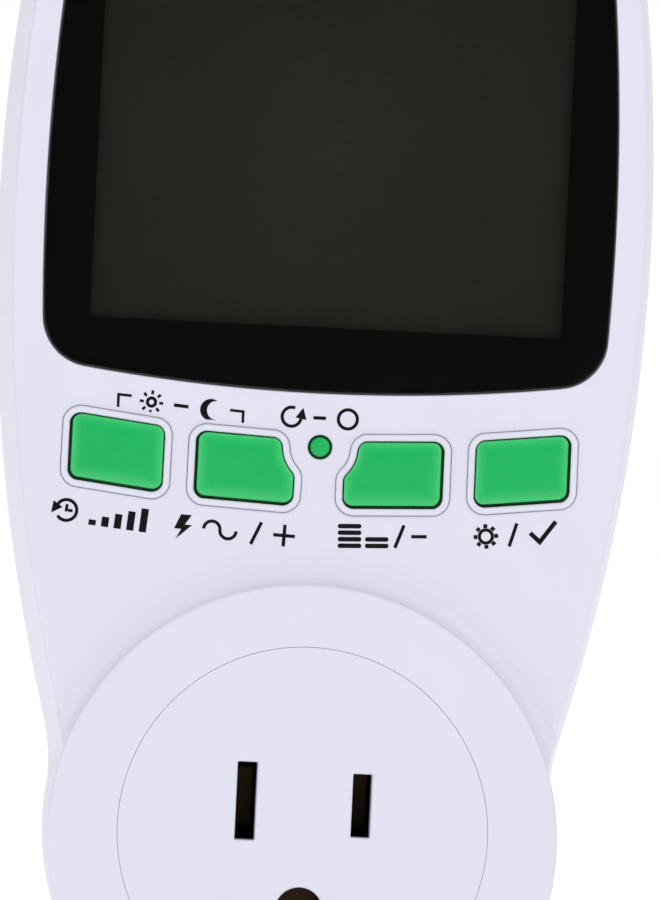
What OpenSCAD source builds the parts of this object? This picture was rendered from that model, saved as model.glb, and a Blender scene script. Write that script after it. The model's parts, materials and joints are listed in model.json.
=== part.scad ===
// Plug-in power meter: a bowed case with a display, four keys and a reset pin above a round
// three-pole outlet, and a three-pole plug on its back.
// The front faces -Y, the plug's blades point +Y and +Z is up. The origin is on the plug's
// mating face, midway between the two blades. All sizes are in millimetres.

/* [Case] */
// Width of the case at its widest point
case_w = 72.8; // [71.5:0.1:74]
// Height of the widest point above the blades
belly_z = 64; // [62:0.5:66]
// Radius of the bowed sides
side_r = 210; // [200:1:225]
// Height of the arched top above the blades
case_top = 104.5; // [104:0.5:108]
// Radius of the arched top
top_r = 110; // [100:1:140]
// Radius of the two top corners
corner_r = 10.5; // [9:0.5:11]
// Radius of the hollow curve where a bowed side runs into the round outlet
waist_r = 22; // [16:1:30]
// Depth of the case from its back to its front face
case_depth = 28; // [28:0.5:31]
// Thickness of the side and rear walls
wall = 2; // [1.8:0.1:2.2]
// Thickness of the front wall
front_wall = 2.6; // [2.4:0.1:2.8]
// How far the side walls lean in from the seam to the front face
front_draft = 1.4; // [0.6:0.1:1.5]

/* [Display] */
// Width of the window at its widest point
window_w = 62.8; // [61.5:0.1:63.5]
// Height of the window's lower edge at its middle
window_low = 45.2; // [44.9:0.1:45.6]
// Height of the window's upper edge at its middle
window_high = 98.6; // [98:0.1:99]
// Thickness of the window plate
window_t = 1.4; // [1.2:0.1:1.5]
// Width of the liquid crystal display's visible area
view_w = 52; // [50:0.5:52.5]
// Height of the visible area
view_h = 38.2; // [37:0.2:38.2]

/* [Keys] */
// Width of the two outer keys
key_w = 10.1; // [9.6:0.1:10.4]
// Width of the two inner keys
inner_key_w = 10.6; // [10.2:0.1:10.8]
// Height of every key
key_h = 7; // [6.6:0.1:7.2]
// Distance of the outer keys from the middle
outer_key_x = 22.4; // [22.2:0.1:22.6]
// Distance of the inner keys from the middle
inner_key_x = 8.2; // [8.1:0.1:8.3]
// Gap between a key and its opening
key_gap = 0.25; // [0.2:0.05:0.3]
// How far a key stands out of the front face
key_rise = 0.6; // [0.4:0.1:0.8]
// How far a key sits towards the middle and the top of its opening
key_lean = 0.1; // [0:0.01:0.12]
// Travel of every key
key_travel = 0.6; // [0.4:0.1:0.6]

/* [Outlet] */
// Radius of the round outlet
outlet_r = 28.3; // [28:0.1:28.8]
// How far the outlet stands out of the front face
outlet_rise = 2.5; // [2:0.1:3.5]
// Radius of the insert that holds the slots
insert_r = 20.4; // [20.2:0.1:20.6]

/* [Plug] */
// Radius of the round plug base on the back
base_r = 21; // [20:0.5:22]
// How far the plug base stands out of the back
base_rise = 6; // [5.5:0.5:7]
// Length of the two flat blades outside the case
blade_l = 16.5; // [15.9:0.1:18.3]
// Length of the round ground pin outside the case
pin_l = 20.5; // [19.5:0.1:21.5]

/* [Hidden] */

$fn = 64;
tiny = 0.01;

// Three-pole plug and outlet standard
blade_x = 6.35;
blade_t = 1.5;
blade_w = 6.35;
ground_z = -11.9;
pin_r = 2.4;
line_slot = [2.1, 7.0];
neutral_slot = [2.2, 8.6];
ground_bore_r = 2.65;

// Depths along Y, from the plug's mating face to the outlet's face
back_y = -base_rise;
back_inner_y = back_y - wall;
front_y = back_y - case_depth;
front_inner_y = front_y + front_wall;
seam_y = back_y - 13;
outlet_y = front_y - outlet_rise;
outlet_inner_y = outlet_y + front_wall;
outlet_z = -4;
insert_z = -3.2;

// Outlines bounded by bowed sides, an arched top and a bowed bottom, with round corners:
// half width, belly height, side radius, top, top radius, bottom, bottom radius, corner radii
CASE = [case_w / 2, belly_z, side_r, case_top, top_r, -16, 31, corner_r, 8];
WINDOW = [window_w / 2, 65, 260, window_high, 150, window_low, 195, 6, 5.5];

// Window seat, display and control board
seat_y = front_y + window_t + 0.2;
view_low = 52.4;
view_high = view_low + view_h;
view_open = [view_w + 2.4, view_h + 2.4];
glass_t = 1.1;
glass_w = view_w + 2;
glass_low = view_low - 0.8;
glass_high = view_high + 1;
ledge_low = glass_low - 2.4;
frame_wall = 1.15;
frame_w = glass_w + 2 * frame_wall + 0.1;
frame_low = ledge_low - frame_wall;
frame_high = glass_high + 0.8;
glass_y = front_inner_y + 0.2;
board_t = 1.6;
board_y = front_inner_y + 4.9;
board_w = 56;
board_low = 26.5;
board_high = 92.4;

// Keys lie along a shallow arc that sags in the middle
key_arc_r = 200;
key_arc_z = 36.33;
key_round = 1;
reset_z = 39.2;
reset_hole_r = 1.35;
reset_pin_r = 1.1;
notch_r = 4.35;
rim_w = 0.75;
rim_h = 0.4;
flange_w = 0.9;
flange_t = 0.8;
flange_gap = 0.1;
stem_r = 1.6;

// Key positions: horizontal place, sign of the notch side (0 for no notch)
HISTORY = [-outer_key_x, 0];
ENERGY = [-inner_key_x, 1];
COST = [inner_key_x, -1];
SET = [outer_key_x, 0];
KEYS = [HISTORY, ENERGY, COST, SET];

// Tactile switches under the keys
switch_w = 6;
switch_roof = 0.5;
switch_floor = 0.5;
switch_well_r = 2.4;
plunger_r = 1.7;
plunger_fit = 0.05;
plunger_out = key_travel + 0.4;
plunger_foot_r = 2.2;
plunger_foot_t = 0.6;
switch_h = switch_roof + plunger_foot_t + key_travel + 0.4 + switch_floor;

// Power board behind the control board
power_y = back_inner_y - 1.5;
power_front_y = power_y - board_t;
power_w = 52;
power_low = 26;
power_high = 88;
POWER_POSTS = [[-23.5, 46.5], [23.5, 46.5], [-23.5, 84], [23.5, 84]];
BOARD_POSTS = [[-26, 45.8], [26, 45.8], [-15.2, 29.5], [15.2, 29.5]];
post_r = 2.2;

// Screws
CASE_POSTS = [[-24, 95], [24, 95], [-18.4, -19.4], [18.4, -19.4]];
case_post_r = 2.4;
case_screw_r = 1.05;
case_head_r = 2.1;
case_head_t = 1.8;
case_head_depth = 4;
case_screw_l = 16;
board_screw_r = 0.95;
board_head_r = 1.9;
board_head_t = 1.2;
board_screw_l = 3;

// Outlet insert, contact block and contacts
insert_gap = 0.12;
insert_lip_r = insert_r + 1;
insert_lip_t = 1.5;
insert_back_y = outlet_inner_y + insert_lip_t;
block_back_y = -15;
block_w = 26;
block_low = -18.5;
block_high = 7.5;
pocket_w = 5.2;
pocket_h = 10;
pocket_floor = 2;
ground_pocket_r = 4.2;
leaf_t = 0.5;
leaf_w = 6.4;
tail_y = -11;

// Plug base
base_plate_t = 2.5;
base_pocket_r = 17.5;
pin_collar_r = 3;
blade_inner_y = -8;
blade_tip = 2.2;
blade_eye_r = 1.6;

// Soldered wires
wire_r = 1.25;

// Label on the back
label_w = 40;
label_low = 48;
label_high = 86;
label_t = 0.3;

case_white = [0.90, 0.90, 0.95];
key_green = [0.16, 0.73, 0.39];
board_green = [0.10, 0.36, 0.20];
contact_brass = [0.80, 0.63, 0.30];
plated_steel = [0.75, 0.75, 0.77];
part_black = [0.06, 0.06, 0.07];

// ---- Outlines -------------------------------------------------------------------------

function heading(v) = atan2(v[1], v[0]);

function unit(v) = v / norm(v);

// Points of an arc about c from angle a towards angle b, without its last point
function arc(c, r, a, b, n) =
    [for (i = [0:n - 1]) let (t = a + (b - a) * i / n) c + r * [cos(t), sin(t)]];

// The point ra from a and rb from b, to the left of the way from a to b
function meet(a, ra, b, rb) =
    let (
        d = norm(b - a),
        u = (b - a) / d,
        along = (d * d + ra * ra - rb * rb) / (2 * d),
        across = sqrt(ra * ra - along * along)
    )
    a + along * u + across * [-u[1], u[0]];

// Right half of a bowed outline, from the middle of its bottom to the middle of its top
function right_half(s, inset) =
    let (
        side = [s[0] - s[2], s[1]],
        top = [0, s[3] - s[4]],
        bottom = [0, s[5] + s[6]],
        high = meet(side, s[2] - s[7], top, s[4] - s[7]),
        low = meet(bottom, s[6] - s[8], side, s[2] - s[8]),
        low_start = heading(low - bottom),
        low_end = heading(low - side),
        high_start = heading(high - side),
        high_end = heading(high - top)
    )
    concat(
        arc(bottom, s[6] - inset, -90, low_start, 5),
        arc(low, s[8] - inset, low_start, low_end, 5),
        arc(side, s[2] - inset, low_end, high_start, 10),
        arc(high, s[7] - inset, high_start, high_end, 6),
        arc(top, s[4] - inset, high_end, 90, 6),
        [[0, s[3] - inset]]
    );

// Middle of the hollow curve on the right
function waist_middle() =
    meet([CASE[0] - CASE[2], CASE[1]], CASE[2] + waist_r, [0, outlet_z], outlet_r + waist_r);

// Whole bowed outline, moved inwards by inset
function outline(s, inset) =
    let (right = right_half(s, inset))
    concat(right, [for (i = [len(right) - 2:-1:1]) [-right[i][0], right[i][1]]]);

// ---- Shared shapes ----------------------------------------------------------------------

// Extrudes a drawing of the XZ plane from depth y_front back to depth y_back
module slab(y_from, y_to)
    translate([0, max(y_from, y_to), 0])
        rotate([90, 0, 0])
            linear_extrude(abs(y_to - y_from))
                children();

// Box between two depths, given by its middle and size in the XZ plane
module block(middle, size, y_from, y_to)
    slab(y_from, y_to)
        translate(middle)
            square(size, center = true);

// Round rod along Y
module rod(middle, r, y_from, y_to)
    slab(y_from, y_to)
        translate(middle)
            circle(r);

// Rectangle with round corners
module round_rect(size, r) {
    square([size[0] - 2 * r, size[1]], center = true);
    square([size[0], size[1] - 2 * r], center = true);
    for (x = [-1, 1], z = [-1, 1])
        translate([x * (size[0] / 2 - r), z * (size[1] / 2 - r)])
            circle(r, $fn = 24);
}

// Bowed case body through stations of depth and inset, each a thin sheet behind its depth
module bowed_body(stations)
    hull()
        for (s = stations)
            slab(s[0], s[0] + tiny)
                polygon(outline(CASE, s[1]));

// Round drum at the outlet through the same stations
module drum(r, stations)
    translate([0, 0, outlet_z])
        rotate([90, 0, 0])
            rotate_extrude($fn = 96)
                polygon(concat(
                    [[0, -stations[0][0]]],
                    [for (s = stations) [r - s[1], -s[0]]],
                    [[0, -stations[len(stations) - 1][0]]]
                ));

// Fills the corners between the bowed sides and the drum up to the hollow curves, through
// stations of depth and inset
module waist(stations) {
    middle = waist_middle();
    side = [CASE[0] - CASE[2], CASE[1]];
    round = [0, outlet_z];
    corners = [
        [outlet_r - 4, 3],
        side + CASE[2] * unit(middle - side),
        round + outlet_r * unit(middle - round)
    ];
    last = stations[len(stations) - 1];
    ahead = sign(last[0] - stations[0][0]);
    hollow = concat(
        [[0, -stations[0][0] + ahead], [waist_r + stations[0][1], -stations[0][0] + ahead]],
        [for (s = stations) [waist_r + s[1], -s[0]]],
        [[waist_r + last[1], -last[0] - ahead], [0, -last[0] - ahead]]
    );
    for (x = [-1, 1])
        difference() {
            slab(stations[0][0], last[0])
                polygon([for (c = corners) [x * c[0], c[1]]]);
            translate([x * middle[0], 0, middle[1]])
                rotate([90, 0, 0])
                    rotate_extrude($fn = 96)
                        polygon(hollow);
        }
}

// Height of the key arc at a horizontal place
function key_z(x) = key_arc_z + key_arc_r - sqrt(key_arc_r * key_arc_r - x * x);

// Corners of a key: upright sides, and a top and bottom that slope as the arc does
function key_corners(k) =
    let (half_w = (k[1] == 0 ? key_w : inner_key_w) / 2)
    [for (c = [[-1, -1], [1, -1], [1, 1], [-1, 1]])
        [k[0] + c[0] * half_w,
            key_z(k[0]) + c[0] * half_w * k[0] / key_arc_r + c[1] * key_h / 2]];

// Face of a key, grown outwards; the inner keys make room for the reset pin
module key_face(k, grow)
    offset(r = grow, $fn = 24)
        offset(r = key_round, $fn = 24)
            offset(delta = -key_round)
                difference() {
                    polygon(key_corners(k));
                    if (k[1] != 0)
                        translate([0, reset_z])
                            circle(notch_r, $fn = 48);
                }

// ---- Case ---------------------------------------------------------------------------------

module front_shell() {
    front_stations = [
        [seam_y, 0], [front_y + 0.9, front_draft], [front_y + 0.25, front_draft + 0.25],
        [front_y + tiny, front_draft + 0.9]
    ];
    drum_stations = [
        [seam_y, 0], [outlet_y + 1.2, 0.2], [outlet_y + 0.5, 0.4], [outlet_y + 0.15, 0.8],
        [outlet_y, 1.4]
    ];
    difference() {
        union() {
            translate([0, -tiny, 0])
                bowed_body(front_stations);
            waist([
                [seam_y, 0], [front_y + 0.9, front_draft], [front_y + 0.25, front_draft + 0.25],
                [front_y, front_draft + 0.9]
            ]);
            drum(outlet_r, drum_stations);
        }
        bowed_body([
            [seam_y + 1, wall], [front_inner_y + 1, wall + front_draft],
            [front_inner_y, wall + front_draft + 0.6]
        ]);
        drum(outlet_r - wall, [[seam_y + 1, 0], [outlet_inner_y, 0]]);
    }
}

module front_cover() color(case_white)
    difference() {
        union() {
            front_shell();
            for (k = KEYS)
                slab(front_y - rim_h, front_y + tiny)
                    key_face(k, key_gap + rim_w);
            for (p = CASE_POSTS)
                rod(p, case_post_r, seam_y, p[1] > 0 ? front_inner_y - 0.5 : outlet_inner_y - 0.5);
            for (p = BOARD_POSTS)
                rod(p, post_r, board_y, front_inner_y - 0.5);
        }
        slab(front_y - 1, seat_y)
            polygon(outline(WINDOW, -0.1));
        block([0, view_low + view_h / 2], view_open, front_y, front_inner_y + 1);
        for (k = KEYS)
            slab(front_y - 1, front_inner_y + 1)
                key_face(k, key_gap);
        rod([0, reset_z], reset_hole_r, front_y - 1, front_inner_y + 1);
        rod([0, insert_z], insert_r, outlet_y - 1, outlet_inner_y + 1);
        for (p = CASE_POSTS)
            rod(p, case_screw_r, seam_y + 1, front_inner_y + 1.5);
        for (p = BOARD_POSTS)
            rod(p, board_screw_r, board_y + 1, board_y - board_screw_l);
    }

module rear_shell() {
    stations = [
        [back_y, 1.8], [back_y - 0.3, 1], [back_y - 0.9, 0.4], [back_y - 1.8, 0.1], [seam_y, 0]
    ];
    difference() {
        union() {
            bowed_body([for (s = stations) [min(s[0], back_y - tiny), s[1]]]);
            waist(stations);
            drum(outlet_r, stations);
            drum(base_r, [[0, 1], [-0.3, 0.3], [-1, 0], [back_y - 1, 0]]);
        }
        bowed_body([
            [back_inner_y - tiny, wall + 1.2], [back_inner_y - 1.2, wall + 0.2], [seam_y - 1, wall]
        ]);
        drum(outlet_r - wall, [[back_inner_y, 0], [seam_y - 1, 0]]);
        drum(base_pocket_r, [[-base_plate_t, 0], [back_inner_y - 1, 0]]);
    }
}

module rear_cover() color(case_white)
    difference() {
        union() {
            rear_shell();
            for (p = CASE_POSTS)
                rod(p, case_head_r + 1.1, back_inner_y + 0.5, seam_y);
            for (p = POWER_POSTS)
                rod(p, post_r, back_inner_y + 0.5, power_y);
        }
        for (p = CASE_POSTS) {
            rod(p, case_head_r + 0.2, back_y + 1, back_y - case_head_depth);
            rod(p, case_screw_r + 0.2, back_y + 1, seam_y - 1);
        }
        for (p = POWER_POSTS)
            rod(p, board_screw_r, power_y - 1, power_y + board_screw_l - board_t);
        for (x = [-blade_x, blade_x])
            block([x, 0], [blade_t, blade_w], 1, back_y);
        rod([0, ground_z], pin_collar_r + 0.03, 1, back_y);
        block([0, (label_low + label_high) / 2], [label_w + 0.4, label_high - label_low + 0.4],
            back_y + 1, back_y - label_t);
    }

module rating_label() color([0.82, 0.83, 0.85])
    slab(back_y, back_y - label_t)
        translate([0, (label_low + label_high) / 2])
            round_rect([label_w, label_high - label_low], 1.5);

module screw(p, head_y, head_r, head_t, r, l) {
    difference() {
        rod(p, head_r, head_y, head_y + head_t);
        for (turn = [0, 90])
            slab(head_y + head_t - 0.7, head_y + head_t + 1)
                translate(p)
                    rotate(turn)
                        square([head_r * 1.2, 0.5], center = true);
    }
    rod(p, r, head_y + tiny, head_y - l);
}

module case_screws() color(plated_steel)
    for (p = CASE_POSTS)
        screw(p, back_y - case_head_depth, case_head_r, case_head_t, case_screw_r, case_screw_l);

module board_screws() color(plated_steel) {
    for (p = BOARD_POSTS)
        screw(p, board_y + board_t, board_head_r, board_head_t, board_screw_r,
            board_screw_l + board_t);
    for (p = POWER_POSTS)
        mirror([0, 1, 0])
            screw(p, -power_front_y, board_head_r, board_head_t, board_screw_r, board_screw_l);
}

// ---- Display ------------------------------------------------------------------------------

module display_window() color([0.04, 0.04, 0.045])
    slab(front_y, front_y + window_t)
        polygon(outline(WINDOW, 0));

module window_tape() color(part_black)
    slab(front_y + window_t, seat_y)
        difference() {
            polygon(outline(WINDOW, 0.3));
            translate([0, view_low + view_h / 2])
                square(view_open + [0.6, 0.6], center = true);
        }

module lcd_plate(low, high, w, y_from, y_to)
    block([0, (low + high) / 2], [w, high - low], y_from, y_to);

module lcd_front_glass() color([0.16, 0.17, 0.15])
    lcd_plate(glass_low, glass_high, glass_w, glass_y, glass_y + glass_t);

module lcd_rear_glass() color([0.18, 0.19, 0.17])
    lcd_plate(ledge_low, glass_high, glass_w, glass_y + glass_t, glass_y + 2 * glass_t);

module backlight_panel() color([0.93, 0.94, 0.92])
    lcd_plate(glass_low, glass_high - 0.4, glass_w - 1, glass_y + 2 * glass_t, board_y - 0.4);

module zebra_strip() color([0.45, 0.45, 0.47])
    lcd_plate(ledge_low + 0.2, glass_low - 0.2, glass_w - 6, glass_y + 2 * glass_t, board_y);

module lcd_frame() color([0.85, 0.86, 0.88])
    difference() {
        lcd_plate(frame_low, frame_high, frame_w, glass_y - 0.1, board_y);
        lcd_plate(ledge_low - 0.05, glass_high + 0.05, glass_w + 0.1, glass_y - 1, board_y + 1);
    }

// ---- Control board and keys -----------------------------------------------------------------

module control_board() color(board_green)
    difference() {
        slab(board_y, board_y + board_t)
            translate([0, (board_low + board_high) / 2])
                round_rect([board_w, board_high - board_low], 2);
        for (p = BOARD_POSTS)
            rod(p, board_screw_r, board_y - 1, board_y + board_t + 1);
    }

module controller_chip() color(part_black)
    translate([0, board_y + board_t, 58])
        rotate([-90, 0, 0])
            rotate_extrude()
                polygon([[0, 0], [6.5, 0], [6.2, 0.5], [5.2, 1], [3.6, 1.3], [0, 1.4]]);

module crystal_can() color(plated_steel)
    translate([10, board_y + board_t + 1.5, 54])
        rotate([0, 90, 0])
            cylinder(r = 1.5, h = 8, $fn = 32);

// Key cap with a flange behind the front wall and a stem down to its switch
module key(k) color(key_green) {
    lean = [-sign(k[0]) * key_lean, key_lean];
    slab(front_y - key_rise, front_inner_y + flange_gap)
        translate(lean)
            key_face(k, 0);
    slab(front_inner_y + flange_gap, front_inner_y + flange_gap + flange_t)
        translate(lean)
            key_face(k, flange_w);
    rod([k[0], key_z(k[0])], stem_r, front_inner_y + flange_gap + flange_t,
        board_y - switch_h - plunger_out);
}

module key_history() key(HISTORY);
module key_energy() key(ENERGY);
module key_cost() key(COST);
module key_set() key(SET);

module key_reset() color(key_green) {
    rod([0, reset_z], reset_pin_r, front_y + 0.4, board_y - switch_h - plunger_out);
    rod([0, reset_z], 2 * reset_pin_r, front_inner_y + flange_gap,
        front_inner_y + flange_gap + flange_t);
}

module switch_body() color(part_black) {
    difference() {
        block([0, 0], [switch_w, switch_w], board_y - switch_h, board_y);
        rod([0, 0], switch_well_r, board_y - switch_h + switch_roof, board_y - switch_floor);
        rod([0, 0], plunger_r + plunger_fit, board_y - switch_h - 1, board_y - switch_floor);
    }
}

module plunger() color([0.75, 0.72, 0.62]) {
    foot_y = board_y - switch_h + switch_roof + 0.1;
    rod([0, 0], plunger_r, board_y - switch_h - plunger_out, foot_y + plunger_foot_t);
    rod([0, 0], plunger_foot_r, foot_y, foot_y + plunger_foot_t);
}

// Places a switch or plunger under a key, square to the board
module under_key(k)
    translate([k[0], 0, key_z(k[0])])
        children();

module under_reset()
    translate([0, 0, reset_z])
        children();

module switch_history() under_key(HISTORY) switch_body();
module switch_energy() under_key(ENERGY) switch_body();
module switch_cost() under_key(COST) switch_body();
module switch_set() under_key(SET) switch_body();
module switch_reset() under_reset() switch_body();
module plunger_history() under_key(HISTORY) plunger();
module plunger_energy() under_key(ENERGY) plunger();
module plunger_cost() under_key(COST) plunger();
module plunger_set() under_key(SET) plunger();
module plunger_reset() under_reset() plunger();

// ---- Power board ----------------------------------------------------------------------------

module power_board() color(board_green)
    difference() {
        slab(power_front_y, power_y)
            translate([0, (power_low + power_high) / 2])
                round_rect([power_w, power_high - power_low], 2);
        for (p = POWER_POSTS)
            rod(p, board_screw_r, power_front_y - 1, power_y + 1);
    }

module film_capacitor() color([0.85, 0.66, 0.12])
    block([-13, 36], [18, 8.5], power_front_y - 12, power_front_y);

module can_capacitor(p, r, h) {
    rod(p, r, power_front_y - h, power_front_y);
    rod(p, r - 0.6, power_front_y - h - 0.3, power_front_y - h);
}

module bulk_capacitor() color([0.12, 0.14, 0.22])
    can_capacitor([8, 36], 4, 11.5);

module filter_capacitor() color([0.12, 0.14, 0.22])
    can_capacitor([8, 46], 2.5, 7);

module varistor() color([0.15, 0.30, 0.62]) {
    translate([20, power_front_y - 7, 38])
        cylinder(r = 5, h = 4, center = true);
    for (x = [17.5, 22.5])
        translate([x, power_front_y, 38])
            rotate([90, 0, 0])
                cylinder(r = 0.4, h = 3.2, $fn = 16);
}

module fuse() color([0.88, 0.87, 0.82])
    translate([-10.5, power_front_y - 3, 46]) {
        rotate([0, 90, 0])
            cylinder(r = 2.4, h = 13, center = true);
        for (x = [-8, 8])
            translate([x, 0, 0])
                rotate([0, 90, 0])
                    cylinder(r = 2.6, h = 4, center = true);
        for (x = [-8, 8])
            translate([x, 2.25, 0])
                cube([1.2, 1.5, 3], center = true);
    }

module diodes() color(part_black)
    for (i = [0:3])
        translate([18, power_front_y - 1.5, 50 + 4 * i]) {
            rotate([0, 90, 0])
                cylinder(r = 1.35, h = 5.2, center = true, $fn = 32);
            rotate([0, 90, 0])
                cylinder(r = 0.35, h = 10, center = true, $fn = 16);
            for (x = [-4.65, 4.65])
                translate([x, 0, 0])
                    rotate([-90, 0, 0])
                        cylinder(r = 0.35, h = 1.5, $fn = 16);
        }

module metering_chip() color(part_black) {
    block([-2, 56], [7.4, 10.3], power_front_y - 2.3, power_front_y - 0.3);
    for (side = [-1, 1], i = [0:7])
        block([-2 + side * 4.3, 51.55 + i * 1.27], [1.2, 0.45], power_front_y - 0.9, power_front_y);
}

module shunt() color([0.62, 0.52, 0.45]) {
    for (x = [-20, -10])
        block([x, 54], [1.2, 5], power_front_y - 5, power_front_y);
    block([-15, 54], [11.2, 5], power_front_y - 6, power_front_y - 5);
}

module header_housing() color(part_black)
    block([0, 66], [20.4, 2.6], power_front_y - 8.5, power_front_y);

module header_pins() color(contact_brass)
    for (i = [0:7])
        block([(i - 3.5) * 2.54, 66], [0.64, 0.64], board_y + board_t, power_front_y - 8.5);

module backup_battery() color([0.20, 0.55, 0.30])
    translate([0, power_front_y - 6.4, 79])
        rotate([0, 90, 0])
            cylinder(r = 5.6, h = 18, center = true);

module battery_cradle() color(part_black)
    difference() {
        block([0, 79], [22, 13.6], power_front_y - 5, power_front_y);
        translate([0, power_front_y - 6.4, 79])
            rotate([0, 90, 0])
                cylinder(r = 5.6, h = 18, center = true);
        block([0, 79], [14, 7], power_front_y - 9, power_front_y + 1);
    }

// ---- Outlet ---------------------------------------------------------------------------------

module socket_openings(y_from, y_to) {
    block([-blade_x, 0], neutral_slot, y_from, y_to);
    block([blade_x, 0], line_slot, y_from, y_to);
    rod([0, ground_z], ground_bore_r, y_from, y_to);
}

module socket_face() color(case_white)
    difference() {
        union() {
            rod([0, insert_z], insert_r - insert_gap, outlet_y, outlet_inner_y);
            rod([0, insert_z], insert_lip_r, outlet_inner_y, insert_back_y);
        }
        socket_openings(outlet_y - 1, insert_back_y + 1);
    }

module socket_block() color([0.80, 0.79, 0.74])
    difference() {
        block([0, (block_low + block_high) / 2], [block_w, block_high - block_low],
            insert_back_y, block_back_y);
        for (x = [-blade_x, blade_x]) {
            block([x, 0], [pocket_w, pocket_h], insert_back_y - 1, block_back_y - pocket_floor);
            block([x, 0], [leaf_t * 2, leaf_w], insert_back_y, block_back_y + 1);
        }
        rod([0, ground_z], ground_pocket_r, insert_back_y - 1, block_back_y - pocket_floor);
        block([0, ground_z], [leaf_t * 2, 4], insert_back_y, block_back_y + 1);
    }

// Half of a spring clip's section: a flared mouth, a pinch that grips the blade, and a root
module clip_leaf()
    polygon([
        [0, block_back_y - pocket_floor], [1.9, block_back_y - pocket_floor],
        [1.9, insert_back_y + 7], [1.35, insert_back_y + 4], [2.3, insert_back_y + 1],
        [1.8, insert_back_y + 0.9], [0.8, insert_back_y + 4], [1.4, insert_back_y + 7],
        [1.4, block_back_y - pocket_floor - leaf_t], [0, block_back_y - pocket_floor - leaf_t]
    ]);

module clip(x) {
    translate([x, 0, -leaf_w / 2])
        linear_extrude(leaf_w) {
            clip_leaf();
            mirror([1, 0])
                clip_leaf();
        }
    block([x, 0], [leaf_t * 2, leaf_w], block_back_y - pocket_floor, tail_y);
}

module contact_line() color(contact_brass) clip(blade_x);
module contact_neutral() color(contact_brass) clip(-blade_x);

module contact_ground() color(contact_brass) {
    sleeve_r = 2.65;
    difference() {
        rod([0, ground_z], sleeve_r + leaf_t, insert_back_y + 1, block_back_y - pocket_floor);
        rod([0, ground_z], sleeve_r, insert_back_y, block_back_y - pocket_floor - leaf_t);
        block([0, ground_z], [1, 10], insert_back_y, block_back_y - pocket_floor - 3);
    }
    block([0, ground_z], [leaf_t * 2, 4], block_back_y - pocket_floor, tail_y);
}

// ---- Plug -----------------------------------------------------------------------------------

module blade(x) color(plated_steel)
    translate([x - blade_t / 2, 0, 0])
        rotate([0, 0, 90])
            rotate([90, 0, 0])
                linear_extrude(blade_t)
                    difference() {
                        polygon([
                            [blade_inner_y, -blade_w / 2], [blade_l - blade_tip, -blade_w / 2],
                            [blade_l, -blade_w / 2 + 1.2], [blade_l, blade_w / 2 - 1.2],
                            [blade_l - blade_tip, blade_w / 2], [blade_inner_y, blade_w / 2]
                        ]);
                        translate([blade_l - 4.2, 0])
                            circle(blade_eye_r);
                    }

module line_blade() blade(blade_x);
module neutral_blade() blade(-blade_x);

module ground_pin() color(plated_steel)
    translate([0, 0, ground_z])
        rotate([-90, 0, 0])
            rotate_extrude()
                polygon([
                    [0, blade_inner_y], [pin_collar_r, blade_inner_y], [pin_collar_r, 0],
                    [pin_r, 0], [pin_r, pin_l - 2.4], [2.2, pin_l - 1.4], [1.6, pin_l - 0.5],
                    [0.8, pin_l - 0.1], [0, pin_l]
                ]);

module neutral_strap() color(contact_brass)
    block([-blade_x, 0], [leaf_t * 2, blade_w], tail_y, blade_inner_y);

module ground_strap() color(contact_brass)
    block([0, ground_z], [leaf_t * 2, 4], tail_y, blade_inner_y);

// Point at fraction t of the smooth curve from b to c, with neighbours a and d
function between(a, b, c, d, t) =
    (2 * b + (c - a) * t + (2 * a - 5 * b + 4 * c - d) * t * t
        + (3 * b - a - 3 * c + d) * t * t * t) / 2;

// Smooth route through the points, with n steps between each two
function route(p, n) =
    let (last = len(p) - 1)
    concat(
        [for (i = [0:last - 1], j = [0:n - 1])
            between(p[max(i - 1, 0)], p[i], p[i + 1], p[min(i + 2, last)], j / n)],
        [p[last]]
    );

// Round wire along a route that never runs along X
module wire(points) {
    sides = 10;
    path = route(points, 5);
    last = len(path) - 1;
    rings = [for (i = [0:last])
        let (
            ahead = unit(path[min(i + 1, last)] - path[max(i - 1, 0)]),
            across = unit(cross(ahead, [1, 0, 0])),
            out = cross(ahead, across)
        )
        for (j = [0:sides - 1])
            path[i] + wire_r * (cos(360 * j / sides) * across + sin(360 * j / sides) * out)
    ];
    start = [[for (j = [0:sides - 1]) j]];
    end = [[for (j = [sides - 1:-1:0]) last * sides + j]];
    skin = [for (i = [0:last - 1], j = [0:sides - 1])
        let (a = i * sides, k = (j + 1) % sides)
        [a + j, a + sides + j, a + sides + k, a + k]
    ];
    polyhedron(rings, concat(start, skin, end));
}

module line_in_wire() color(part_black)
    wire([[8.4, -6, 1.5], [10, -10.5, 11], [13, -11, 18], [14, power_front_y - 1.5, 25],
        [14, power_front_y - 1.5, 30]]);

module line_out_wire() color(part_black)
    wire([[8.2, -12.8, 1.5], [13, -13, 9.5], [19, -13, 17], [22, power_front_y - 1.5, 25],
        [22, power_front_y - 1.5, 30]]);

module neutral_wire() color([0.88, 0.88, 0.86])
    wire([[-8.4, -6, 1.5], [-10, -10.5, 11], [-13, -11, 18], [-18, power_front_y - 1.5, 25],
        [-18, power_front_y - 1.5, 29]]);

front_cover();
rear_cover();
socket_face();
display_window();
window_tape();
lcd_front_glass();
lcd_rear_glass();
backlight_panel();
lcd_frame();
zebra_strip();
control_board();
controller_chip();
crystal_can();
key_history();
key_energy();
key_cost();
key_set();
key_reset();
switch_history();
switch_energy();
switch_cost();
switch_set();
switch_reset();
plunger_history();
plunger_energy();
plunger_cost();
plunger_set();
plunger_reset();
power_board();
film_capacitor();
bulk_capacitor();
filter_capacitor();
varistor();
fuse();
diodes();
metering_chip();
shunt();
header_housing();
header_pins();
backup_battery();
battery_cradle();
socket_block();
contact_line();
contact_neutral();
contact_ground();
line_blade();
neutral_blade();
ground_pin();
neutral_strap();
ground_strap();
line_in_wire();
line_out_wire();
neutral_wire();
case_screws();
board_screws();
rating_label();
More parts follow.
